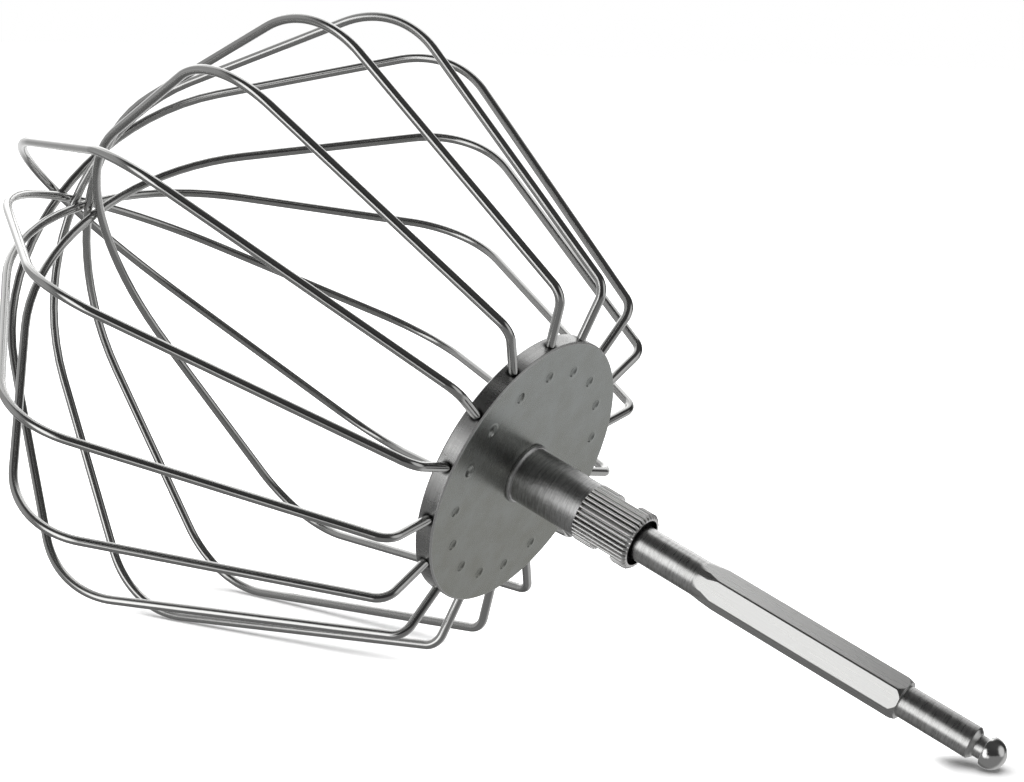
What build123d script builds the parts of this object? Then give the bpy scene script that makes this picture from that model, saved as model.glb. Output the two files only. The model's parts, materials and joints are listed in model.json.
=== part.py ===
from build123d import *
from math import acos, atan2, cos, hypot, pi, sin, sqrt, tan, radians, degrees
import os

# Stand mixer wire whisk. Every piece is drawn upright about its own axis: the shaft points
# along +Z, the wire cage hangs below, and the front face of the hub disc is the plane Z = 0.
# At the end one turn lays the whisk down on its ball tip and two wires, with the floor at Z = 0.

# Wire cage
WIRE_DIAMETER = 2.0
WIRE_LOOPS = 8
KINK_RADIUS = 41.8           # from the axis to the corner where a wire leaves its radial stub
KINK_BEND = 4.5
SHOULDER_RADIUS = 75.2       # corner between the flared run and the nose cone
SHOULDER_DEPTH = 75.5
SHOULDER_BEND = 22.5
NOSE_BEND = 50.0
NOSE_DEPTH = 142.7           # outermost crossing, wire centre below the hub face
STACK_GAP = 0.3              # room between wires that cross on the axis
FIRST_LOOP_TURN = 3          # steps from the floor side to the outermost loop

# Hub disc
HUB_DIAMETER = 60.0
HUB_THICKNESS = 4.3
HUB_CHAMFER = 0.35
WIRE_HOLE_DEPTH = 8.5
WIRE_HOLE_DROP = 1.6         # hole axis below the front face
WIRE_SEAT_CLEARANCE = 0.04
STAKE_CIRCLE = 23.4          # radius of the ring of punch marks that pinch the wires
STAKE_DIAMETER = 2.4
STAKE_DEPTH = 0.35

# Splined sleeve
FOOT_DIAMETER = 13.4
FOOT_HEIGHT = 0.9
FOOT_CHAMFER = 0.4
BOSS_DIAMETER = 12.1
SPLINE_DIAMETER = 12.5
SPLINE_ROOT_DIAMETER = 10.5
SPLINE_TEETH = 36
SPLINE_GAP_ANGLE = 20.0
SPLINE_GAP_FLOOR = 0.2
SPLINE_START = 16.9
SPLINE_CUT_MARGIN = 0.5      # how far the cutter of a gap reaches past the teeth
CLIP_SLOT_START = 21.3
CLIP_SLOT_WIDTH = 5.1
CLIP_SLOT_ACROSS = 10.9      # between the flat floors of the two slots
CLIP_SLOT_TURN = -25.0
SLEEVE_LENGTH = 30.0
SLEEVE_END_CHAMFER = 0.6
RECESS_DIAMETER = 10.0
RECESS_DEPTH = 1.3

# Drive shaft
NECK_DIAMETER = 7.6
SPIGOT_CHAMFER = 0.4
SHAFT_SEAT_CLEARANCE = 0.02
HEX_ACROSS_FLATS = 7.75
HEX_BAR_DIAMETER = 8.75       # round bar that the flats are milled on
HEX_TURN = -11.0              # turn of the flats about the shaft
FLARE_START = 44.4
FLARE_LENGTH = 5.0
HEX_END = 91.6
HEX_END_CHAMFER = 1.2
HEX_END_DIAMETER = 7.9
JOURNAL_DIAMETER = 6.5
JOURNAL_END = 107.5
JOURNAL_CHAMFER = 0.8
TIP_NECK_DIAMETER = 4.4
TIP_NECK_LENGTH = 1.8
TIP_BALL_DIAMETER = 6.3
TIP_END = 113.3

WIRE_ENDS = 2 * WIRE_LOOPS
END_STEP = 360 / WIRE_ENDS
STACK_PITCH = WIRE_DIAMETER + STACK_GAP
HUB_RADIUS = HUB_DIAMETER / 2
TIP_BALL_RADIUS = TIP_BALL_DIAMETER / 2
TIP_BALL_CENTRE = TIP_END - TIP_BALL_RADIUS


def corners(face, radius, height):
    """Corners of a half profile that lie at this radius and height."""
    return face.vertices().filter_by(lambda v: hypot(v.X - radius, v.Z - height) < 1e-6)


def end_turns():
    """Angles of the wire ends, which straddle the floor side."""
    return [(n + 0.5) * END_STEP for n in range(WIRE_ENDS)]


def nose_apex(depth):
    """Where the two nose cones of a loop would meet, for a nose arc that reaches this depth."""
    centre = NOSE_BEND - depth
    reach = hypot(SHOULDER_RADIUS, -SHOULDER_DEPTH - centre)
    lean = atan2(-SHOULDER_DEPTH - centre, SHOULDER_RADIUS) - acos(NOSE_BEND / reach)
    return centre + NOSE_BEND / sin(lean)


def loop_path(depth):
    """Centre line of one wire loop in the XZ plane, from seat to seat across the nose."""
    seat = HUB_RADIUS - WIRE_HOLE_DEPTH + WIRE_SEAT_CLEARANCE
    half = [(seat, -WIRE_HOLE_DROP), (KINK_RADIUS, -WIRE_HOLE_DROP), (SHOULDER_RADIUS, -SHOULDER_DEPTH)]
    points = half + [(0, nose_apex(depth))] + [(-x, z) for x, z in reversed(half)]
    bends = [KINK_BEND, SHOULDER_BEND, NOSE_BEND, SHOULDER_BEND, KINK_BEND]
    return FilletPolyline(*[(x, 0, z) for x, z in points], radius=bends)


def wire_loop(place):
    """One loop, counted from the outside of the stack. Loops are laid in crossed pairs."""
    path = loop_path(NOSE_DEPTH - place * STACK_PITCH)
    section = Plane(origin=path @ 0, z_dir=path % 0) * Circle(WIRE_DIAMETER / 2)
    turn = FIRST_LOOP_TURN + place // 2 + (WIRE_LOOPS // 2) * (place % 2)
    return Rot(0, 0, (turn - 0.5) * END_STEP) * sweep(section, path=path)


def hub_disc():
    """Turned plate with a bore, radial wire holes in its rim and a punch mark over each hole."""
    disc = extrude(Circle(HUB_RADIUS), -HUB_THICKNESS)
    disc = chamfer(disc.edges(), HUB_CHAMFER)
    disc -= extrude(Circle(NECK_DIAMETER / 2 + SHAFT_SEAT_CLEARANCE), -HUB_THICKNESS)
    hole_length = WIRE_HOLE_DEPTH + HUB_CHAMFER
    hole = Rot(0, 90, 0) * Cylinder(WIRE_DIAMETER / 2 + WIRE_SEAT_CLEARANCE, hole_length)
    hole = Pos(HUB_RADIUS - WIRE_HOLE_DEPTH + hole_length / 2, 0, -WIRE_HOLE_DROP) * hole
    mark = Pos(STAKE_CIRCLE, 0, -STAKE_DEPTH / 2) * Cone(0, STAKE_DIAMETER / 2, STAKE_DEPTH)
    return disc - [Rot(0, 0, a) * cut for a in end_turns() for cut in (hole, mark)]


def spline_gap():
    """Prism between two teeth, from the end of the plain boss out through the end of the sleeve."""
    root, top = SPLINE_ROOT_DIAMETER / 2, SPLINE_DIAMETER / 2 + SPLINE_CUT_MARGIN
    floor = SPLINE_GAP_FLOOR / 2
    mouth = floor + (top - root) * tan(radians(SPLINE_GAP_ANGLE / 2))
    outline = Polyline((root, -floor), (top, -mouth), (top, mouth), (root, floor), close=True)
    length = SLEEVE_LENGTH - SPLINE_START + SPLINE_CUT_MARGIN
    return Pos(0, 0, SPLINE_START) * extrude(make_face(outline), length)


def clip_slot():
    """Block that mills one flat slot across the teeth, where a retaining clip slides in."""
    depth = (SPLINE_DIAMETER - CLIP_SLOT_ACROSS) / 2 + SPLINE_CUT_MARGIN
    middle = CLIP_SLOT_ACROSS / 2 + depth / 2, 0, CLIP_SLOT_START + CLIP_SLOT_WIDTH / 2
    return Pos(*middle) * Box(depth, SPLINE_DIAMETER, CLIP_SLOT_WIDTH)


def splined_sleeve():
    """Boss on the disc with a foot and a band of fine splines that two clip slots cross."""
    bore = NECK_DIAMETER / 2 + SHAFT_SEAT_CLEARANCE
    foot, boss = FOOT_DIAMETER / 2, BOSS_DIAMETER / 2
    spline, recess = SPLINE_DIAMETER / 2, RECESS_DIAMETER / 2
    recess_floor = SLEEVE_LENGTH - RECESS_DEPTH
    outline = [
        (bore, 0), (foot, 0), (foot, FOOT_HEIGHT), (boss, FOOT_HEIGHT),
        (boss, SPLINE_START), (spline, SPLINE_START), (spline, SLEEVE_LENGTH), (recess, SLEEVE_LENGTH),
        (recess, recess_floor), (bore, recess_floor),
    ]
    half = make_face(Polyline(*[(r, 0, z) for r, z in outline], close=True))
    half = chamfer(corners(half, spline, SLEEVE_LENGTH), SLEEVE_END_CHAMFER)
    half = chamfer(corners(half, foot, FOOT_HEIGHT), FOOT_CHAMFER)
    gap, slot = spline_gap(), clip_slot()
    gaps = [Rot(0, 0, n * 360 / SPLINE_TEETH) * gap for n in range(SPLINE_TEETH)]
    slots = [Rot(0, 0, CLIP_SLOT_TURN + side) * slot for side in (0, 180)]
    return revolve(half, Axis.Z) - gaps - slots


def drive_shaft():
    """Bar through sleeve and disc: round neck, milled hexagon, journal and ball tip."""
    neck, bar, journal = NECK_DIAMETER / 2, HEX_BAR_DIAMETER / 2, JOURNAL_DIAMETER / 2
    tip_neck, ball_start = TIP_NECK_DIAMETER / 2, JOURNAL_END + TIP_NECK_LENGTH
    ball_edge = sqrt(TIP_BALL_RADIUS ** 2 - (TIP_BALL_CENTRE - ball_start) ** 2)
    outline = [
        (0, -HUB_THICKNESS), (neck - SPIGOT_CHAMFER, -HUB_THICKNESS), (neck, SPIGOT_CHAMFER - HUB_THICKNESS),
        (neck, FLARE_START), (bar, FLARE_START + FLARE_LENGTH), (bar, HEX_END - HEX_END_CHAMFER),
        (HEX_END_DIAMETER / 2, HEX_END), (journal, HEX_END), (journal, JOURNAL_END - JOURNAL_CHAMFER),
        (journal - JOURNAL_CHAMFER, JOURNAL_END), (tip_neck, JOURNAL_END), (tip_neck, ball_start),
        (ball_edge, ball_start),
    ]
    ball_side = (TIP_BALL_RADIUS, 0, TIP_BALL_CENTRE)
    edges = Polyline(*[(r, 0, z) for r, z in outline])
    edges += ThreePointArc(edges @ 1, ball_side, (0, 0, TIP_END))
    edges += Line((0, 0, TIP_END), (0, 0, -HUB_THICKNESS))
    bar_blank = revolve(make_face(edges), Axis.Z)
    flats = Circle(HEX_BAR_DIAMETER) - RegularPolygon(HEX_ACROSS_FLATS / 2, 6, major_radius=False)
    milled = Pos(0, 0, FLARE_START) * Rot(0, 0, HEX_TURN) * extrude(flats, HEX_END - FLARE_START)
    return bar_blank - milled


def lying_angle():
    """Slope of the shaft when its ball tip and the two lowest wires touch one floor."""
    side = cos(radians(END_STEP / 2))
    flare = atan2(SHOULDER_RADIUS - KINK_RADIUS, SHOULDER_DEPTH - WIRE_HOLE_DROP)
    apex = nose_apex(NOSE_DEPTH - STACK_PITCH * (WIRE_LOOPS - 1) / 2)
    cone = atan2(SHOULDER_RADIUS, -apex - SHOULDER_DEPTH)
    back = SHOULDER_BEND * tan((flare + cone) / 2)
    centre_r = SHOULDER_RADIUS - back * sin(flare) - SHOULDER_BEND * cos(flare)
    centre_z = -SHOULDER_DEPTH + back * cos(flare) - SHOULDER_BEND * sin(flare)
    low, high = 0.0, pi / 4
    for _ in range(60):
        slope = (low + high) / 2
        bend_reach = SHOULDER_BEND * hypot(side * cos(slope), sin(slope))
        wires = centre_r * side * cos(slope) + centre_z * sin(slope) + bend_reach + WIRE_DIAMETER / 2
        tip = TIP_BALL_CENTRE * sin(slope) + TIP_BALL_RADIUS
        low, high = (slope, high) if wires > tip else (low, slope)
    return degrees(slope)


nodes = {"hub_disc": hub_disc(), "splined_sleeve": splined_sleeve(), "drive_shaft": drive_shaft()}
for place in range(WIRE_LOOPS):
    nodes[f"wire_loop_{place + 1}"] = wire_loop(place)

lay_down = Rot(0, 90 + lying_angle(), 0)
box = Compound([lay_down * solid for solid in nodes.values()]).bounding_box()
lay_down = Pos(-box.center().X, -box.center().Y, -box.min.Z) * lay_down

os.makedirs("parts", exist_ok=True)
for name, solid in nodes.items():
    export_step(lay_down * solid, f"parts/{name}.step")
print(f"shaft slope {lying_angle():.2f} degrees, box {box.size.X:.1f} x {box.size.Y:.1f} x {box.size.Z:.1f}")
print(f"moved by {-box.center().X:.3f}, {-box.center().Y:.3f}, {-box.min.Z:.3f}")
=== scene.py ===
# %% [markdown]
# # A wire whisk for a stand mixer
# Eight bent steel wires stand in the rim of a turned hub disc. A splined sleeve and a hexagonal
# drive shaft carry the disc, and the shaft ends in a ball tip that a spring catch in the mixer holds.
# The whisk lies on that ball and on two of its wires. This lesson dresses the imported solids: every
# piece gets a finer mesh than the solid it stands for, and a steel finish of its own.

# %% Load the frame
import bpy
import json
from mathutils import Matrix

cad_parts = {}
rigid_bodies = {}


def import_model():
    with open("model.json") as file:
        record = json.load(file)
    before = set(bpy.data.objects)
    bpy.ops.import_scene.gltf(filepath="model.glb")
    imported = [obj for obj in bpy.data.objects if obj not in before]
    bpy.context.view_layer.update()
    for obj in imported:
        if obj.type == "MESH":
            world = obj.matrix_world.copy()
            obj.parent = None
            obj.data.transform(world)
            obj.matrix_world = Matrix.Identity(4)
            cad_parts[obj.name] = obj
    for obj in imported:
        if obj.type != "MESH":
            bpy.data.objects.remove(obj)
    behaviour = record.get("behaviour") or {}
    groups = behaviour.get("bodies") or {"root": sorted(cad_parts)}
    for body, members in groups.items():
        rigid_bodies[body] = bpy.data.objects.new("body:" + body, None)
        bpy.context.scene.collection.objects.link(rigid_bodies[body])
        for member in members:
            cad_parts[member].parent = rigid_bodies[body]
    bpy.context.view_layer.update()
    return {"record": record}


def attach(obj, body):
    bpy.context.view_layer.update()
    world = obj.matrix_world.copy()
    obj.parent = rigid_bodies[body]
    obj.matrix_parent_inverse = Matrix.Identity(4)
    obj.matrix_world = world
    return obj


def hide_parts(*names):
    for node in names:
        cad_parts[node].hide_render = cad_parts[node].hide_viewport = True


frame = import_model()

import json
from math import acos, atan2, cos, degrees, hypot, pi, radians, sin, sqrt, tan
import bmesh
import bpy
from mathutils import Matrix, Quaternion, Vector

# %% [markdown]
# ## The whisk's own axis
# A turned part is easiest to draw upright, with the shaft along Z and the disc's front face at zero.
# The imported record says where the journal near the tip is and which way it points. One matrix from
# that mount lays every upright mesh down, so the pieces land on their solids without any fitting.

# %% Upright to lying
MM = 0.001
HEX_END, JOURNAL_END, JOURNAL_CHAMFER = 91.6, 107.5, 0.8
journal = next(m for m in frame["record"]["mounts"] if m["name"] == "tip_journal")
shaft_way = Vector(journal["axis"]).normalized()
journal_middle = (HEX_END + JOURNAL_END - JOURNAL_CHAMFER) / 2
hub_middle = Vector(journal["pos_m"]) - shaft_way * MM * journal_middle
floor_way = Vector((shaft_way.z, 0, -shaft_way.x))
across = shaft_way.cross(floor_way)
LAY = Matrix.Translation(hub_middle) @ Matrix((floor_way, across, shaft_way)).transposed().to_4x4()
LAY_TURN = LAY.to_euler()
print("shaft slope in degrees:", round(-degrees(atan2(shaft_way.z, shaft_way.x)), 2))

# %% [markdown]
# ## Shader maths as Python
# A finish is mostly sums and products of patterns. Drawing those as Math nodes by hand is slow to
# write and hard to read, so a small class wraps a socket and turns Python operators into nodes.
# One method of the finish makes every other node from its type, its settings and its inputs.

# %% Signals, trees and finishes
class Signal:
    """A value on a node socket. Arithmetic on it adds Math nodes."""

    def __init__(self, finish, socket):
        self.finish, self.socket = finish, socket

    def maths(self, operation, *values):
        return self.finish.node("ShaderNodeMath", {"operation": operation}, dict(enumerate(values)))

    def __add__(self, other): return self.maths("ADD", self, other)
    def __radd__(self, other): return self.maths("ADD", other, self)
    def __sub__(self, other): return self.maths("SUBTRACT", self, other)
    def __rsub__(self, other): return self.maths("SUBTRACT", other, self)
    def __mul__(self, other): return self.maths("MULTIPLY", self, other)
    def __rmul__(self, other): return self.maths("MULTIPLY", other, self)
    def __truediv__(self, other): return self.maths("DIVIDE", self, other)
    def __rtruediv__(self, other): return self.maths("DIVIDE", other, self)
    def __pow__(self, other): return self.maths("POWER", self, other)
    def __lt__(self, other): return self.maths("LESS_THAN", self, other)
    def __gt__(self, other): return self.maths("GREATER_THAN", self, other)
    def sine(self): return self.maths("SINE", self)
    def floor(self): return self.maths("FLOOR", self)
    def angle(self, across): return self.maths("ARCTAN2", self, across)


def distance(a, b):
    """How far a point with these two coordinates is from nought."""
    return (a * a + b * b) ** 0.5


class Wiring:
    """A shader tree whose nodes come from one method."""

    def __init__(self, tree):
        self.tree = tree

    def node(self, kind, settings=(), inputs=(), output=0):
        made = self.tree.nodes.new(kind)
        for key, value in dict(settings).items():
            setattr(made, key, value)
        for key, value in dict(inputs).items():
            if isinstance(value, Signal):
                self.tree.links.new(value.socket, made.inputs[key])
            else:
                made.inputs[key].default_value = value
        return None if output is None else Signal(self, made.outputs[output])

    def mix(self, factor, low, high):
        """A colour between two others. Sockets 0, 6 and 7 are the colour ones of a Mix node."""
        ends = [c if isinstance(c, Signal) else (*c, 1) for c in (low, high)]
        return self.node("ShaderNodeMix", {"data_type": "RGBA"}, {
            0: factor, 6: ends[0], 7: ends[1]}, output=2)

    def parts(self, vector):
        """The three coordinates of a vector."""
        return [self.node("ShaderNodeSeparateXYZ", inputs={"Vector": vector}, output=n) for n in "XYZ"]

    def ramp(self, value, start, end):
        """Nought at the start, one at the end, and a soft way between."""
        return self.node("ShaderNodeMapRange", {"interpolation_type": "SMOOTHSTEP"}, {
            "Value": value, "From Min": start, "From Max": end})


class Finish(Wiring):
    """A procedural metal with its node tree."""

    def __init__(self, name):
        self.material = bpy.data.materials.new(name)
        self.material.use_nodes = True
        super().__init__(self.material.node_tree)
        self.shader = self.tree.nodes["Principled BSDF"]

    def feed(self, **inputs):
        for key, value in inputs.items():
            socket = self.shader.inputs[key.replace("_", " ")]
            if isinstance(value, Signal):
                self.tree.links.new(value.socket, socket)
            else:
                socket.default_value = value

    def upright(self):
        """A point about the whisk's own axis in millimetres, its x, y and height, and its radius."""
        place = self.node("ShaderNodeTexCoord", output="Object")
        point = self.node("ShaderNodeMapping", {"vector_type": "TEXTURE"}, {
            "Vector": place, "Location": hub_middle, "Rotation": LAY_TURN, "Scale": (MM, MM, MM)})
        x, y, height = self.parts(point)
        return point, (x, y, height), distance(x, y)

    def noise(self, vector, scale, detail=3.0, roughness=0.55):
        return self.node("ShaderNodeTexNoise", {"noise_dimensions": "3D"}, {
            "Vector": vector, "Scale": scale, "Detail": detail, "Roughness": roughness})

    def stretched(self, vector, scale):
        return self.node("ShaderNodeMapping", inputs={"Vector": vector, "Scale": scale})

    def bump(self, height, strength, depth):
        return self.node("ShaderNodeBump", inputs={
            "Strength": strength, "Distance": depth, "Height": height})


print("signals and finishes ready")

# %% [markdown]
# ## Turned meshes
# The disc, the sleeve and the shaft all come off a lathe, so each is a half profile spun about Z.
# Real corners are never quite sharp: a tool or a file takes a tenth of a millimetre off, and that
# sliver catches the light. The profile's corners are eased before the spin for that reason.

# %% Lathe helpers
EASE_STEPS = 6


def eased(corners, ease=0.12):
    """The (radius, height) corners with every corner rounded off by a small curve."""
    line, count = [], len(corners)
    for n, corner in enumerate(corners):
        here = Vector(corner)
        back, onward = Vector(corners[n - 1]) - here, Vector(corners[(n + 1) % count]) - here
        reach = min(ease, 0.4 * back.length, 0.4 * onward.length)
        start, end = here + back.normalized() * reach, here + onward.normalized() * reach
        for k in range(EASE_STEPS + 1):
            t = k / EASE_STEPS
            line.append((1 - t) ** 2 * start + 2 * t * (1 - t) * here + t ** 2 * end)
    return line


def lathe(name, line, around=192):
    """A closed mesh from a closed profile. Points on the axis become a single pole."""
    verts, faces, rings = [], [], []
    turns = [2 * pi * k / around for k in range(around)]
    for r, z in line:
        if r < 1e-6:
            rings.append([len(verts)] * around)
            verts.append((0, 0, z))
            continue
        rings.append(list(range(len(verts), len(verts) + around)))
        verts += [(r * cos(turn), r * sin(turn), z) for turn in turns]
    for low, high in zip(rings, rings[1:] + rings[:1]):
        if low[0] == low[1] and high[0] == high[1]:
            continue
        for k in range(around):
            j = (k + 1) % around
            loop = [low[k], low[j], high[j], high[k]]
            faces.append([v for n, v in enumerate(loop) if v != loop[n - 1]])
    mesh = bpy.data.meshes.new(name)
    mesh.from_pydata([Vector(v) * MM for v in verts], [], faces)
    return mesh


def shown(name, data):
    """A new object in the scene from a mesh, a lamp or a camera."""
    made = bpy.data.objects.new(name, data)
    bpy.context.collection.objects.link(made)
    return made


def baked(maker):
    """The evaluated mesh of an object, as plain data. The object that made it goes away."""
    ready = maker.evaluated_get(bpy.context.evaluated_depsgraph_get())
    mesh = bpy.data.meshes.new_from_object(ready)
    bpy.data.objects.remove(maker)
    return mesh


def settle(name, mesh, finish, nodes, crease=24):
    """Lays an upright mesh down, smooths it between its creases and puts it in its nodes' place."""
    mesh.transform(LAY)
    mesh.shade_smooth()
    mesh.set_sharp_from_angle(angle=radians(crease))
    maker = shown(name, mesh)
    even = maker.modifiers.new("Even shading", "WEIGHTED_NORMAL")
    even.keep_sharp, even.weight = True, 100
    result = baked(maker)
    result.name = name
    result.materials.clear()
    result.materials.append(finish.material)
    made = shown(name, result)
    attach(made, "root")
    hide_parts(*nodes)
    print(name, "has", len(result.polygons), "faces")


print("lathe helpers ready, with", EASE_STEPS, "steps to a corner")

# %% [markdown]
# ## Geometry Nodes by name
# A tree of Geometry Nodes is drawn here as a list of nodes with their settings and inputs, as the
# finishes are. Its sizes are named inputs, so one tree makes every wire and can be tried with
# other sizes in the modifier panel. Sockets are set by identifier, because names may repeat.

# %% A small builder for node trees
class Maker:
    """A Geometry Nodes tree with named inputs that ends in realized, painted geometry."""

    def __init__(self, name, **sizes):
        self.tree = bpy.data.node_groups.new(name, "GeometryNodeTree")
        face = self.tree.interface
        face.new_socket("Geometry", in_out="INPUT", socket_type="NodeSocketGeometry")
        kinds = {float: "NodeSocketFloat", int: "NodeSocketInt"}
        self.ids = {}
        for key, value in sizes.items():
            socket = face.new_socket(key, in_out="INPUT", socket_type=kinds[type(value)])
            socket.default_value = value
            self.ids[key] = socket.identifier
        face.new_socket("Geometry", in_out="OUTPUT", socket_type="NodeSocketGeometry")
        self.given = self.tree.nodes.new("NodeGroupInput")

    def size(self, key):
        return self.given.outputs[key]

    def node(self, kind, settings=(), inputs=(), output=0):
        made = self.tree.nodes.new(kind)
        for key, value in dict(settings).items():
            setattr(made, key, value)
        for key, value in dict(inputs).items():
            for item in value if isinstance(value, list) else [value]:
                if isinstance(item, bpy.types.NodeSocket):
                    self.tree.links.new(item, made.inputs[key])
                else:
                    made.inputs[key].default_value = item
        return made.outputs[output]

    def maths(self, operation, a, b):
        return self.node("ShaderNodeMath", {"operation": operation}, {0: a, 1: b})

    def vector(self, x=0.0, y=0.0, z=0.0):
        return self.node("ShaderNodeCombineXYZ", inputs={0: x, 1: y, 2: z})

    def ring(self, shape, count, offset):
        """Copies of a shape turned about Z by equal steps, starting at a share of a step."""
        spots = self.node("GeometryNodePoints", inputs={"Count": count})
        step = self.maths("DIVIDE", 2 * pi, count)
        place = self.maths("ADD", self.node("GeometryNodeInputIndex"), offset)
        turn = self.vector(z=self.maths("MULTIPLY", place, step))
        copies = self.node("GeometryNodeInstanceOnPoints", inputs={
            "Points": spots, "Instance": shape, "Rotation": turn})
        return self.node("GeometryNodeRealizeInstances", inputs={0: copies})

    def moved(self, shape, **how):
        """A shape with a Translation, a Rotation or both."""
        return self.node("GeometryNodeTransform", inputs={"Geometry": shape, **how})

    def cut(self, shape, tools, crossed=False):
        """A shape with every tool taken out of it. A crossed set of tools overlaps itself."""
        return self.node("GeometryNodeMeshBoolean", {"operation": "DIFFERENCE", "solver": "EXACT"}, {
            "Mesh 1": shape, "Mesh 2": tools, "Self Intersection": crossed})

    def end(self, geometry, finish):
        whole = self.node("GeometryNodeRealizeInstances", inputs={0: geometry})
        painted = self.node("GeometryNodeSetMaterial", inputs={0: whole, "Material": finish.material})
        out = self.tree.nodes.new("NodeGroupOutput")
        self.tree.links.new(painted, out.inputs[0])

    def make(self, name, mesh, **sizes):
        """Runs the tree on a mesh with these sizes and gives back the plain result."""
        maker = shown(name, mesh)
        step = maker.modifiers.new(name, "NODES")
        step.node_group = self.tree
        for key, value in sizes.items():
            step[self.ids[key]] = value
        return baked(maker)


print("node trees ready")

# %% [markdown]
# ## Drawn wire
# The loops are drawn stainless wire, polished after bending. Drawing leaves long, very fine lines
# along the wire, so the pattern has to follow the wire and not the world. Each wire mesh carries
# two attributes for that: how far along a point is and which way it faces round the section.

# %% Wire finish
WIRE_DULL, WIRE_BRIGHT = (0.60, 0.60, 0.59), (0.76, 0.76, 0.75)

wire_steel = Finish("Drawn wire steel")
along = wire_steel.node("ShaderNodeAttribute", {"attribute_name": "along"}, output="Fac")
section = wire_steel.node("ShaderNodeAttribute", {"attribute_name": "section"}, output="Vector")
side_x, side_y, _ = wire_steel.parts(section)
line_place = wire_steel.node("ShaderNodeCombineXYZ", inputs={
    0: side_x * 3, 1: side_y * 3, 2: along * 40})
draw_lines = wire_steel.noise(line_place, 2.2, detail=4)
hand_marks = wire_steel.noise(wire_steel.node("ShaderNodeTexCoord", output="Object"), 90, detail=2)
wire_steel.feed(
    Base_Color=wire_steel.mix(draw_lines, WIRE_DULL, WIRE_BRIGHT),
    Metallic=1.0,
    Roughness=0.09 + 0.08 * draw_lines + 0.04 * hand_marks,
    Normal=wire_steel.bump(draw_lines, 0.06, 0.0002),
)
print("wire finish:", len(wire_steel.tree.nodes), "nodes")

# %% [markdown]
# ## The wire loops
# Each loop is one length of wire: a radial stub in the disc, a tight bend, a straight flare, a wide
# shoulder, a straight run to the nose, and the same again on the far side. A chain of seven corner
# points says all of that, with the bend radius of every corner as an attribute. The tree fillets
# the corners and sweeps a circle along. The loops cross on the axis, each a wire thickness inside
# the one before, which is why every loop has its own nose depth and its own turn.

# %% Wire loops
WIRE_RADIUS, WIRE_LOOPS, STACK_PITCH = 1.0, 8, 2.3
KINK, KINK_BEND = (41.8, -1.6), 4.5
SHOULDER, SHOULDER_BEND = (75.2, -75.5), 22.5
NOSE_DEPTH, NOSE_BEND = 142.7, 50.0
WIRE_SEAT, WIRE_SIDES, WIRE_CREASE = 21.54, 24, 40
END_STEP = 2 * pi / (2 * WIRE_LOOPS)
FIRST_END = 2.5

bender = Maker("Bent wire", **{"Wire radius": WIRE_RADIUS * MM, "Bend steps": 20, "Turn": 0.0})
chain = bender.node("GeometryNodeMeshToCurve", inputs={0: bender.given.outputs[0]})
bend = bender.node("GeometryNodeInputNamedAttribute", {"data_type": "FLOAT"}, {"Name": "bend"})
bent = bender.node("GeometryNodeFilletCurve", {"mode": "POLY"}, {
    "Curve": chain, "Count": bender.size("Bend steps"), "Radius": bend})
length = bender.node("GeometryNodeSplineParameter", output="Length")
bent = bender.node("GeometryNodeStoreNamedAttribute", {"data_type": "FLOAT"}, {
    "Geometry": bent, "Name": "along", "Value": length})
hoop = bender.node("GeometryNodeCurvePrimitiveCircle", {"mode": "RADIUS"}, {
    "Resolution": WIRE_SIDES, "Radius": bender.size("Wire radius")})
facing = bender.node("ShaderNodeVectorMath", {"operation": "NORMALIZE"}, {
    0: bender.node("GeometryNodeInputPosition")})
hoop = bender.node("GeometryNodeStoreNamedAttribute", {"data_type": "FLOAT_VECTOR"}, {
    "Geometry": hoop, "Name": "section", "Value": facing})
swept = bender.node("GeometryNodeCurveToMesh", inputs={
    "Curve": bent, "Profile Curve": hoop, "Fill Caps": True})
bender.end(bender.moved(swept, Rotation=bender.vector(z=bender.size("Turn"))), wire_steel)


def loop_corners(depth):
    """Corners of a loop whose nose arc reaches this depth, from seat to seat."""
    centre = NOSE_BEND - depth
    lean = atan2(SHOULDER[1] - centre, SHOULDER[0])
    lean -= acos(NOSE_BEND / hypot(SHOULDER[0], SHOULDER[1] - centre))
    half = [(WIRE_SEAT, KINK[1], 0), (*KINK, KINK_BEND), (*SHOULDER, SHOULDER_BEND)]
    nose = (0, centre + NOSE_BEND / sin(lean), NOSE_BEND)
    return half + [nose] + [(-x, z, b) for x, z, b in reversed(half)]


for place in range(WIRE_LOOPS):
    corners = loop_corners(NOSE_DEPTH - place * STACK_PITCH)
    steps = [(n, n + 1) for n in range(len(corners) - 1)]
    mesh = bpy.data.meshes.new("corners")
    mesh.from_pydata([(x * MM, 0, z * MM) for x, z, _ in corners], steps, [])
    bends = mesh.attributes.new("bend", "FLOAT", "POINT")
    bends.data.foreach_set("value", [b * MM for _, _, b in corners])
    # Loops lie in pairs that cross at a right angle, and each pair is turned on by one wire end.
    pair, crossing = divmod(place, 2)
    turn = (FIRST_END + pair + crossing * WIRE_LOOPS // 2) * END_STEP
    loop = bender.make("wire", mesh, Turn=turn)
    node = f"wire_loop_{place + 1}"
    settle(f"wire_bend_{place + 1}", loop, wire_steel, [node], WIRE_CREASE)
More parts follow.
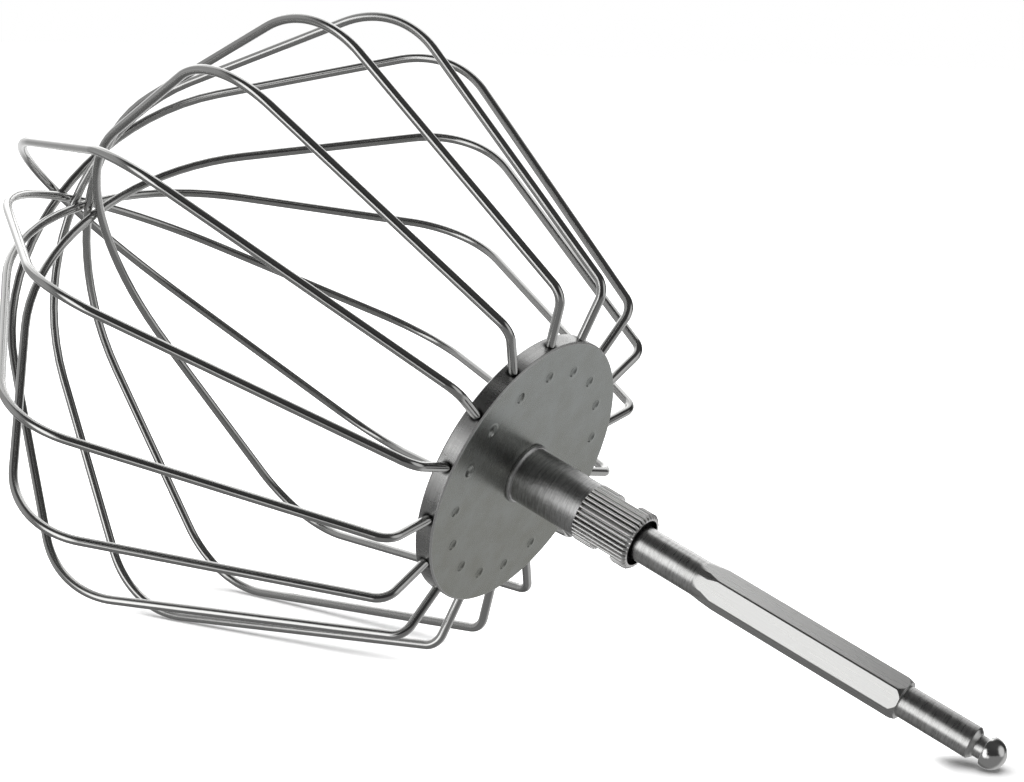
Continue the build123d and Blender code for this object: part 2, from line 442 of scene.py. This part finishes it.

# %% [markdown]
# ## Turned and satin steel
# The disc is faced on a lathe and then rubbed to a satin grey, so its marks are circles about the
# axis that are too fine to count. The pattern is a sine of the radius, broken up by noise, and it
# drives a weak bump and the roughness. Slow clouds in the colour stand for handling, and painted
# light makes the face lighter towards its side away from the floor. The front edge is worn bright
# and painted lighter as a highlight line. Painted shade, with some grime, sits round the wires and
# in the dents, and the punch has raised a burr about each dent. All of these are masks from a
# point's radius, its height and its angle round the axis, so one material does the whole disc and
# needs no picture.

# %% Disc finish
HUB_RADIUS, HOLE_DROP, DENT_CIRCLE = 30.0, 1.6, 23.4
EDGE_START, RIM_START, FRONT_DEPTH = 29.6, 29.7, 0.4
BURR_RISE, BURR_FALL, DENT_SHADE, HOLE_GRIME_AND_SHADE = (1.0, 1.3), (1.9, 1.4), (1.2, 0.5), (1.9, 1.0)
FACE_DULL_AND_SHADED, FACE_CLEAN_AND_LIT = (0.30, 0.295, 0.25), (0.52, 0.55, 0.55)
RIM_DULL, RIM_CLEAN = (0.34, 0.34, 0.335), (0.62, 0.62, 0.615)
DIRT_AND_SHADE, WORN_AND_HIGHLIGHT_STEEL = (0.02, 0.02, 0.02), (0.88, 0.88, 0.87)

disc_steel = Finish("Satin disc steel")
point, (x, y, height), radius = disc_steel.upright()
clouds = disc_steel.noise(point, 0.16, detail=3)
grit = disc_steel.noise(point, 6.0, detail=4, roughness=0.7)
scratch_way = disc_steel.stretched(point, (0.25, 3.5, 0.25))
scratches = disc_steel.noise(scratch_way, 1.0, detail=4, roughness=0.7)
facing_lines = (radius * 14 + grit * 3).sine()
rim_way = disc_steel.stretched(point, (0.12, 0.12, 3.0))
rim_lines = disc_steel.noise(rim_way, 1.0, detail=4, roughness=0.7)

on_rim, in_front = radius > RIM_START, height > -FRONT_DEPTH
# The worn front edge is also painted lighter, as a highlight line along the chamfer.
edge = (radius > EDGE_START) * in_front
share = y.angle(x) / END_STEP
round_off = (share - share.floor() - 0.5) * END_STEP
hole_off = distance(round_off * HUB_RADIUS, height + HOLE_DROP)
dent_off = distance(round_off * DENT_CIRCLE, radius - DENT_CIRCLE)
burr = disc_steel.ramp(dent_off, *BURR_RISE) * disc_steel.ramp(dent_off, *BURR_FALL) * in_front
in_dent = disc_steel.ramp(dent_off, *DENT_SHADE) * in_front
# Painted shade, with some grime, darkens the rim round the wire holes and the inside of the dents.
grime_and_shade = on_rim * disc_steel.ramp(hole_off, *HOLE_GRIME_AND_SHADE) + (1 - on_rim) * in_dent * 0.2

# Painted light: the face is lighter towards its side away from the floor. The clouds stand for handling.
handling_and_painted_light = clouds * 0.7 + disc_steel.ramp(x, 20.0, -24.0) * 0.3
face = disc_steel.mix(handling_and_painted_light, FACE_DULL_AND_SHADED, FACE_CLEAN_AND_LIT)
rim = disc_steel.mix(rim_lines, RIM_DULL, RIM_CLEAN)
used_and_shaded = disc_steel.mix(grime_and_shade, disc_steel.mix(on_rim, face, rim), DIRT_AND_SHADE)
relief = facing_lines * 0.25 + grit + scratches * 0.8 + rim_lines * on_rim + burr * 9
disc_steel.feed(
    Base_Color=disc_steel.mix(edge, used_and_shaded, WORN_AND_HIGHLIGHT_STEEL),
    Metallic=1.0,
    Roughness=0.17 + 0.08 * clouds + 0.05 * grit + 0.08 * scratches + 0.3 * edge,
    Normal=disc_steel.bump(relief, 0.14, 0.00005),
)
print("disc finish:", len(disc_steel.tree.nodes), "nodes")

# %% [markdown]
# ## The hub disc
# The disc is a plain turned plate. Sixteen radial holes in its rim take the wires, and over each
# hole a punch has left a round dent that pinches the wire. Holes and dents repeat, so one tree
# makes a ring of each and cuts both from the plate.

# %% Hub disc
HUB_THICKNESS, HUB_CHAMFER, BORE = 4.3, 0.35, 3.82
HOLE_RADIUS, HOLE_DEPTH = 1.04, 8.5
DENT_BALL, DENT_DEPTH = 2.23, 0.35
DISC_EASE, DISC_AROUND = 0.1, 256

plate = lathe("plate", eased([
    (BORE, -HUB_THICKNESS), (HUB_RADIUS - HUB_CHAMFER, -HUB_THICKNESS),
    (HUB_RADIUS, HUB_CHAMFER - HUB_THICKNESS), (HUB_RADIUS, -HUB_CHAMFER),
    (HUB_RADIUS - HUB_CHAMFER, 0), (BORE, 0)], DISC_EASE), DISC_AROUND)

driller = Maker("Holes and dents", **{
    "Wire ends": 2 * WIRE_LOOPS, "Hole radius": HOLE_RADIUS * MM, "Hole depth": HOLE_DEPTH * MM,
    "Dent circle": DENT_CIRCLE * MM, "Dent ball": DENT_BALL * MM})
drill = driller.node("GeometryNodeMeshCylinder", inputs={
    "Vertices": 32, "Radius": driller.size("Hole radius"),
    "Depth": driller.maths("MULTIPLY", 2.0, driller.size("Hole depth"))})
drill = driller.moved(
    drill, Translation=(HUB_RADIUS * MM, 0, -HOLE_DROP * MM), Rotation=(0, pi / 2, 0))
punch = driller.node("GeometryNodeMeshUVSphere", inputs={
    "Segments": 32, "Rings": 24, "Radius": driller.size("Dent ball")})
punch = driller.moved(punch, Translation=driller.vector(
    x=driller.size("Dent circle"), z=(DENT_BALL - DENT_DEPTH) * MM))
holes = driller.ring(drill, driller.size("Wire ends"), 0.5)
dents = driller.ring(punch, driller.size("Wire ends"), 0.5)
driller.end(driller.cut(driller.given.outputs[0], [holes, dents]), disc_steel)
settle("hub_plate", driller.make("hub", plate), disc_steel, ["hub_disc"])

# %% [markdown]
# ## Machined steel
# Sleeve and shaft are brighter than the disc, because a lathe tool leaves a shiny, finely ringed
# surface. The rings run round the axis wherever the bar was turned, and show as faint bands. On the
# flats of the hexagon the mill left marks along the shaft instead. The height along the axis says
# which marks a point has. The teeth are painted near white as a highlight, the gaps between them
# get painted shade, and the recess is painted dark as shade.

# %% Tool rings
RING_DIM, RING_FULL = 0.38, 0.62


def ringed(finish, pitch, point):
    """Fine tool rings round the axis, with a slow wobble so that no two are alike."""
    wobble = finish.noise(point, 0.35, detail=2)
    ring_way = finish.stretched(point, (0.3, 0.3, 1 / pitch))
    rings = finish.noise(ring_way, 1.0, detail=4, roughness=0.75) * 0.8 + wobble * 0.2
    return rings, finish.ramp(rings, RING_DIM, RING_FULL)


print("tool rings: bands from", RING_DIM, "to", RING_FULL)

# %% Sleeve finish
SPLINE_START, SLEEVE_END, RECESS_DEPTH = 16.9, 30.0, 1.3
RECESS_WALL, RECESS_MARGIN = 5.05, 0.2
GAP_END, GAP_TOP, GAP_DEEP = 29.6, 5.75, 5.35
TURNED_DULL, TURNED_BRIGHT = (0.52, 0.52, 0.515), (0.76, 0.76, 0.755)
TOOTH_HIGHLIGHT, GAP_SHADE = (0.97, 0.965, 0.955), (0.36, 0.36, 0.36)
RECESS_SHADE = (0.03, 0.03, 0.03)

sleeve_steel = Finish("Turned sleeve steel")
point, (_, _, height), radius = sleeve_steel.upright()
rings, bands = ringed(sleeve_steel, 0.42, point)
toothed = height > SPLINE_START
# Painted shade darkens the gaps between the teeth, more the deeper they go. The teeth are painted near
# white as a highlight.
gap_shade = sleeve_steel.ramp(radius, GAP_TOP, GAP_DEEP) * toothed * (height < GAP_END)
in_recess = (radius < RECESS_WALL) * (height > SLEEVE_END - RECESS_DEPTH - RECESS_MARGIN)
turned = sleeve_steel.mix(bands, TURNED_DULL, TURNED_BRIGHT)
steel = sleeve_steel.mix(gap_shade, sleeve_steel.mix(toothed, turned, TOOTH_HIGHLIGHT), GAP_SHADE)
sleeve_steel.feed(
    Base_Color=sleeve_steel.mix(in_recess, steel, RECESS_SHADE),
    Metallic=1.0,
    Roughness=0.29 + 0.18 * rings - 0.08 * toothed,
    Normal=sleeve_steel.bump(rings, 0.45, 0.0001),
)
print("sleeve finish:", len(sleeve_steel.tree.nodes), "nodes")

# %% Shaft finish
FLATS_START, TIP_NECK_LENGTH = 45.0, 1.8
BALL_START = JOURNAL_END + TIP_NECK_LENGTH
SHAFT_DULL, SHAFT_BRIGHT, BALL_STEEL = (0.57, 0.57, 0.56), (0.80, 0.80, 0.79), (0.90, 0.90, 0.89)

shaft_steel = Finish("Turned shaft steel")
point, (_, _, height), _ = shaft_steel.upright()
rings, bands = ringed(shaft_steel, 0.45, point)
grain_way = shaft_steel.stretched(point, (3.0, 3.0, 0.12))
grain = shaft_steel.noise(grain_way, 1.0, detail=5, roughness=0.65)
on_flats = (height > FLATS_START) * (height < HEX_END)
marks = on_flats * grain + (1 - on_flats) * rings
shade = on_flats * grain + (1 - on_flats) * bands
ball = height > BALL_START
shaft_steel.feed(
    Base_Color=shaft_steel.mix(ball, shaft_steel.mix(shade, SHAFT_DULL, SHAFT_BRIGHT), BALL_STEEL),
    Metallic=1.0,
    Roughness=(0.20 + 0.18 * marks) * (1 - ball) + 0.15 * ball,
    Normal=shaft_steel.bump(marks, 0.3, 0.00008),
)
print("shaft finish:", len(shaft_steel.tree.nodes), "nodes")

# %% [markdown]
# ## The splined sleeve
# The sleeve is a turned boss with a small foot on the disc and a band of fine straight teeth that runs
# out at its end. Two flat slots for a retaining clip are milled across the teeth, on opposite sides.
# The boss is spun. One tooth with a rounded crest is repeated round the axis by a tree, which then
# cuts the slots, because a slot goes through many teeth at once.

# %% Boss
FOOT, FOOT_HEIGHT, FOOT_CHAMFER, BOSS = 6.7, 0.9, 0.4, 6.05
SPLINE_ROOT, RECESS = 5.25, 5.0
recess_floor = SLEEVE_END - RECESS_DEPTH

boss = lathe("boss", eased([
    (BORE, 0), (FOOT, 0), (FOOT, FOOT_HEIGHT - FOOT_CHAMFER), (FOOT - FOOT_CHAMFER, FOOT_HEIGHT),
    (BOSS, FOOT_HEIGHT), (BOSS, SPLINE_START), (SPLINE_ROOT, SPLINE_START), (SPLINE_ROOT, SLEEVE_END),
    (RECESS, SLEEVE_END), (RECESS, recess_floor), (BORE, recess_floor)]))
print("boss:", len(boss.polygons), "faces")

# %% One tooth
SPLINE_TIP, TEETH, SLEEVE_END_CHAMFER = 6.25, 36, 0.6
GAP_FLOOR, GAP_SLOPE = 0.2, tan(radians(10.0))
CREST, CREST_STEPS, TOOTH_SINK = 0.27, 10, 0.1


def tooth_half(radius):
    """Half the width of a tooth at this radius: half a pitch less half the gap."""
    return pi * radius / TEETH - GAP_FLOOR / 2 - (radius - SPLINE_ROOT) * GAP_SLOPE


def tooth_ring(top, height):
    """Outline of a tooth with a round crest that reaches this radius, at this height."""
    foot, spring = SPLINE_ROOT - TOOTH_SINK, top - CREST
    turns = [pi * k / CREST_STEPS for k in range(CREST_STEPS + 1)]
    crest = [(spring + CREST * sin(turn), -tooth_half(spring) * cos(turn)) for turn in turns]
    outline = [(foot, -tooth_half(SPLINE_ROOT))] + crest + [(foot, tooth_half(SPLINE_ROOT))]
    return [(x * MM, y * MM, height * MM) for x, y in outline]


levels = [tooth_ring(SPLINE_TIP, SPLINE_START),
          tooth_ring(SPLINE_TIP, SLEEVE_END - SLEEVE_END_CHAMFER),
          tooth_ring(SPLINE_TIP - SLEEVE_END_CHAMFER, SLEEVE_END)]
size = len(levels[0])
rows = [[n + k * size for n in range(size)] for k in range(len(levels))]
sides = [[low[n - 1], low[n], high[n], high[n - 1]]
         for low, high in zip(rows, rows[1:]) for n in range(size)]
tooth = bpy.data.meshes.new("tooth")
tooth.from_pydata(sum(levels, []), [], sides + [rows[0][::-1], rows[-1]])
print("tooth:", len(tooth.polygons), "faces")

# %% Teeth and clip slots
SLOT_START, SLOT_WIDTH, SLOT_ACROSS, SLOT_TURN = 21.3, 5.1, 10.9, radians(-25.0)
MILL_DEPTH, MILL_ACROSS, SLEEVE_CREASE = 4, 16, 35

hobber = Maker("Spline teeth", **{
    "Teeth": TEETH, "Slots": 2, "Slot width": SLOT_WIDTH * MM,
    "Across slots": SLOT_ACROSS * MM, "Slot turn": SLOT_TURN})
teeth = hobber.ring(hobber.given.outputs[0], hobber.size("Teeth"), 0.5)
mill = hobber.node("GeometryNodeMeshCube", inputs={
    "Size": hobber.vector(MILL_DEPTH * MM, MILL_ACROSS * MM, hobber.size("Slot width"))})
slot_floor = hobber.maths("DIVIDE", hobber.size("Across slots"), 2.0)
mill = hobber.moved(mill, Translation=hobber.vector(
    x=hobber.maths("ADD", slot_floor, MILL_DEPTH / 2 * MM), z=(SLOT_START + SLOT_WIDTH / 2) * MM))
mills = hobber.ring(mill, hobber.size("Slots"), 0.0)
mills = hobber.moved(mills, Rotation=hobber.vector(z=hobber.size("Slot turn")))
hobber.end(hobber.cut(teeth, mills), sleeve_steel)
teeth = hobber.make("teeth", tooth)

whole = bmesh.new()
whole.from_mesh(boss)
whole.from_mesh(teeth)
whole.to_mesh(boss)
whole.free()
settle("sleeve_and_teeth", boss, sleeve_steel, ["splined_sleeve"], SLEEVE_CREASE)

# %% [markdown]
# ## The drive shaft
# The shaft is round bar. It is spun with its neck, its flare, its journal and its ball, and then six
# flats are cut into the wide part, which leaves pointed run-outs where they meet the flare and
# narrow lands of the bar between them. The six cutters are one block that a tree repeats.

# %% Turned bar
NECK, BACK_CHAMFER, BAR = 3.8, 0.4, 4.375
FLARE_START, FLARE_LENGTH, HEX_END_CHAMFER, HEX_END_RADIUS = 44.4, 5.0, 1.2, 3.95
JOURNAL, TIP_NECK, BALL, TIP_END, BALL_STEPS = 3.25, 2.2, 3.15, 113.3, 32

ball_middle = TIP_END - BALL
ball_rise = ball_middle - BALL_START
ball_turn = atan2(sqrt(BALL ** 2 - ball_rise ** 2), ball_rise)
turns = [ball_turn + (pi - ball_turn) * k / BALL_STEPS for k in range(2, BALL_STEPS)]
dome = [Vector((BALL * sin(turn), ball_middle - BALL * cos(turn))) for turn in turns]
# The first and the last corner only lead the curve on. Their own points are cut off again.
sides = eased([
    (BACK_CHAMFER, -HUB_THICKNESS), (NECK - BACK_CHAMFER, -HUB_THICKNESS),
    (NECK, BACK_CHAMFER - HUB_THICKNESS), (NECK, FLARE_START),
    (BAR, FLARE_START + FLARE_LENGTH), (BAR, HEX_END - HEX_END_CHAMFER),
    (HEX_END_RADIUS, HEX_END), (JOURNAL, HEX_END),
    (JOURNAL, JOURNAL_END - JOURNAL_CHAMFER), (JOURNAL - JOURNAL_CHAMFER, JOURNAL_END),
    (TIP_NECK, JOURNAL_END), (TIP_NECK, BALL_START),
    (BALL * sin(ball_turn), BALL_START), dome[0]])[EASE_STEPS + 1:-EASE_STEPS - 1]
blank = lathe("bar", [Vector((0, -HUB_THICKNESS))] + sides + dome + [Vector((0, TIP_END))])
print("turned bar:", len(blank.polygons), "faces")

# %% Hexagon flats
HEX_HALF, HEX_TURN = 3.875, radians(-11.0)
BLOCK_DEPTH, BLOCK_ACROSS, SHAFT_CREASE = 2, 12, 20

miller = Maker("Hexagon flats", **{"Flats": 6, "Half across": HEX_HALF * MM, "Turn": HEX_TURN})
block = miller.node("GeometryNodeMeshCube", inputs={
    "Size": (BLOCK_DEPTH * MM, BLOCK_ACROSS * MM, (HEX_END - FLARE_START) * MM)})
block = miller.moved(block, Translation=miller.vector(
    x=miller.maths("ADD", miller.size("Half across"), BLOCK_DEPTH / 2 * MM),
    z=(HEX_END + FLARE_START) / 2 * MM))
blocks = miller.ring(block, miller.size("Flats"), 0.5)
blocks = miller.moved(blocks, Rotation=miller.vector(z=miller.size("Turn")))
miller.end(miller.cut(miller.given.outputs[0], blocks, crossed=True), shaft_steel)
milled = miller.make("shaft", blank)
settle("hexagon_shaft", milled, shaft_steel, ["drive_shaft"], SHAFT_CREASE)

# %% [markdown]
# ## The studio
# Polished steel has no colour of its own to speak of: it shows the room. Here the room is dark, with
# a pale table below and soft cards round it, as a photographer would hang them: a tall one at the
# left of the camera, a white sweep behind the whisk, and dimmer ones overhead and at the sides. The
# dark between them draws the black cores of the wires. Lamps could do this too, but the world paints
# all of it by direction, so it has no noise and stays put when the camera walks round.

# %% Cards of the studio
world = bpy.context.scene.world or bpy.data.worlds.new("World")
bpy.context.scene.world = world
world.use_nodes = True
world.node_tree.nodes.clear()
room = Wiring(world.node_tree)
way = room.node("ShaderNodeTexCoord", output="Generated")


def card(direction, width, height, level, soft=0.3):
    """Light of this level from an oval round one direction. Its half width and height are in degrees."""
    front = Vector(direction).normalized()
    right = front.cross((0, 0, 1)).normalized()
    facing, across, up = [room.node("ShaderNodeVectorMath", {"operation": "DOT_PRODUCT"}, {
        0: way, 1: axis}, output="Value") for axis in (front, right, right.cross(front))]
    off = distance(across / sin(radians(width)), up / sin(radians(height)))
    return room.ramp(off, 1 + soft, 1 - soft) * (facing > 0) * level


DARK_ROOM, TABLE = 0.03, 0.16
table_cards = [
    ((-0.55, 0.50, -0.65), 30, 30, -0.07),  # darker table at the far left
    ((0.26, 0.82, -0.50), 36, 36, 0.30),  # lighter table behind the disc
]
room_cards = [
    ((-0.29, -0.93, 0.12), 14, 27, 1.35),  # tall soft box at the left of the camera
    ((-0.55, 0.83, 0.10), 37, 37, 0.8),  # white sweep behind the whisk
    ((-0.50, 0.55, 0.67), 35, 35, 0.62, 0.1),  # panel over the sweep
    ((-0.90, -0.25, 0.35), 36, 36, 0.32),  # dim panel on the side of the nose
    ((-0.14, 0.43, 0.89), 11, 11, 0.5),  # small panel overhead
    ((0.45, -0.10, 0.87), 38, 38, 0.02, 0.6),  # faint ceiling over the shaft
    ((0.03, -0.97, -0.22), 11, 11, 0.6),  # low card in front of the camera
    ((0.93, 0.30, 0.22), 25, 25, 0.55),  # panel on the side of the ball
]
_, _, rise = room.parts(way)
below = room.ramp(rise, 0.0, -0.2)
table = TABLE
for spot in table_cards:
    table = table + card(*spot)
studio = DARK_ROOM + below * table
for spot in room_cards:
    studio = studio + card(*spot)
print("studio:", len(table_cards) + len(room_cards), "cards")

# %% [markdown]
# ## What each ray sees
# The camera should see plain white round the whisk, and so should a ray that has gone through
# something clear. A ray that bounces off polished steel sees the studio, and the rays that light the
# paper get one even level. Light Path tells these rays apart, so one world serves all of them.

# %% World
ROOM_FILL = 0.33
path = {name: room.node("ShaderNodeLightPath", output=name) for name in (
    "Is Camera Ray", "Is Transmission Ray", "Is Glossy Ray")}
seen = path["Is Camera Ray"] + path["Is Transmission Ray"]
glossy = path["Is Glossy Ray"]
level = seen + (1 - seen) * (glossy * studio + (1 - glossy) * ROOM_FILL)
light = room.node("ShaderNodeBackground", inputs={"Color": (1, 1, 1, 1), "Strength": level})
room.node("ShaderNodeOutputWorld", inputs={"Surface": light}, output=None)
print("world:", len(world.node_tree.nodes), "nodes")

# %% [markdown]
# ## Floor
# The floor is white paper. Close to the wires and the ball that touch it, it shows the soft shadow of
# the light above. Away from them it glows up to plain white for the camera, so that no horizon shows.
# A large sheet under many lamps would do the same and take longer to balance. Floor and lamp are kept
# out of reflections, because the world already paints what the steel shows, and a bare lamp would
# draw hard lines on it.

# %% Floor
SHEET, SHEET_DROP, PAPER_WHITE = 6, 0.0001, 0.80
floor_mesh = bpy.data.meshes.new("floor")
floor_mesh.from_pydata(
    [(-SHEET, -SHEET, 0), (SHEET, -SHEET, 0), (SHEET, SHEET, 0), (-SHEET, SHEET, 0)], [], [(0, 1, 2, 3)])
floor = shown("floor", floor_mesh)
floor.location.z = -SHEET_DROP
paper = bpy.data.materials.new("White paper")
paper.use_nodes = True
paper.node_tree.nodes.clear()
sheet = Wiring(paper.node_tree)
place = sheet.node("ShaderNodeTexCoord", output="Object")
matte = sheet.node("ShaderNodeBsdfDiffuse", inputs={"Color": (PAPER_WHITE, PAPER_WHITE, PAPER_WHITE, 1)})


def reach(middle, stretch, inner, outer):
    """One near a spot on the floor, nought away from it. The stretch squeezes the round spot."""
    moved = sheet.node("ShaderNodeMapping", {"vector_type": "TEXTURE"}, {
        "Vector": place, "Location": middle, "Scale": stretch})
    away = sheet.node("ShaderNodeVectorMath", {"operation": "LENGTH"}, {0: moved}, output="Value")
    return sheet.ramp(away, outer, inner)


under_wires = 0.85 * reach((-0.05, 0, 0), (1, 0.55, 1), 0.030, 0.062)
under_ball = reach((0.1176, 0, 0), (1, 1, 1), 0.006, 0.014)
looked_at = sheet.node("ShaderNodeLightPath", output="Is Camera Ray")
bright = looked_at * (1 - (under_wires + under_ball))
glow = sheet.node("ShaderNodeEmission", inputs={
    "Color": sheet.mix(bright, (0, 0, 0), (1, 1, 1)), "Strength": 1.0})
both = sheet.node("ShaderNodeAddShader", inputs={0: matte, 1: glow})
sheet.node("ShaderNodeOutputMaterial", inputs={"Surface": both}, output=None)
floor_mesh.materials.append(paper)
floor.visible_glossy = False
print("floor:", [round(v, 2) for v in floor.dimensions], "m")

# %% Top light
LAMP_ACROSS, LAMP_WATTS, LAMP_PLACE = 1.6, 20.0, (0.0, -0.10, 1.1)
lamp = bpy.data.lights.new("top light", "AREA")
lamp.shape, lamp.size, lamp.energy = "DISK", LAMP_ACROSS, LAMP_WATTS
top_light = shown("top light", lamp)
top_light.location = LAMP_PLACE
top_light.visible_glossy = False
print("top light:", LAMP_WATTS, "W,", LAMP_ACROSS, "m across")

# %% [markdown]
# ## Camera
# The camera stands low and well back on the shaft's side, with a long lens, so that the cage looks
# neither wide nor flat. Its place and direction came from fitting the drawn axis, the disc and the
# shoulders to where they stand in the picture. A slight roll takes up the tilt of the picture.

# %% Camera
EYE, LOOK = (0.257749, -0.376017, 0.135323), (-0.541088, 0.824212, -0.167029)
LENS, FILM, ROLL = 77.89, 36.0, radians(1.03)
view = bpy.data.cameras.new("view")
view.lens, view.sensor_width = LENS, FILM
camera = shown("view", view)
camera.location = EYE
aim = Vector(LOOK).to_track_quat("-Z", "Y")
camera.rotation_euler = (aim @ Quaternion((0, 0, 1), ROLL)).to_euler()
bpy.context.scene.camera = camera
bpy.context.scene.view_settings.view_transform = "Standard"
print("camera:", round(degrees(view.angle), 1), "degrees wide")
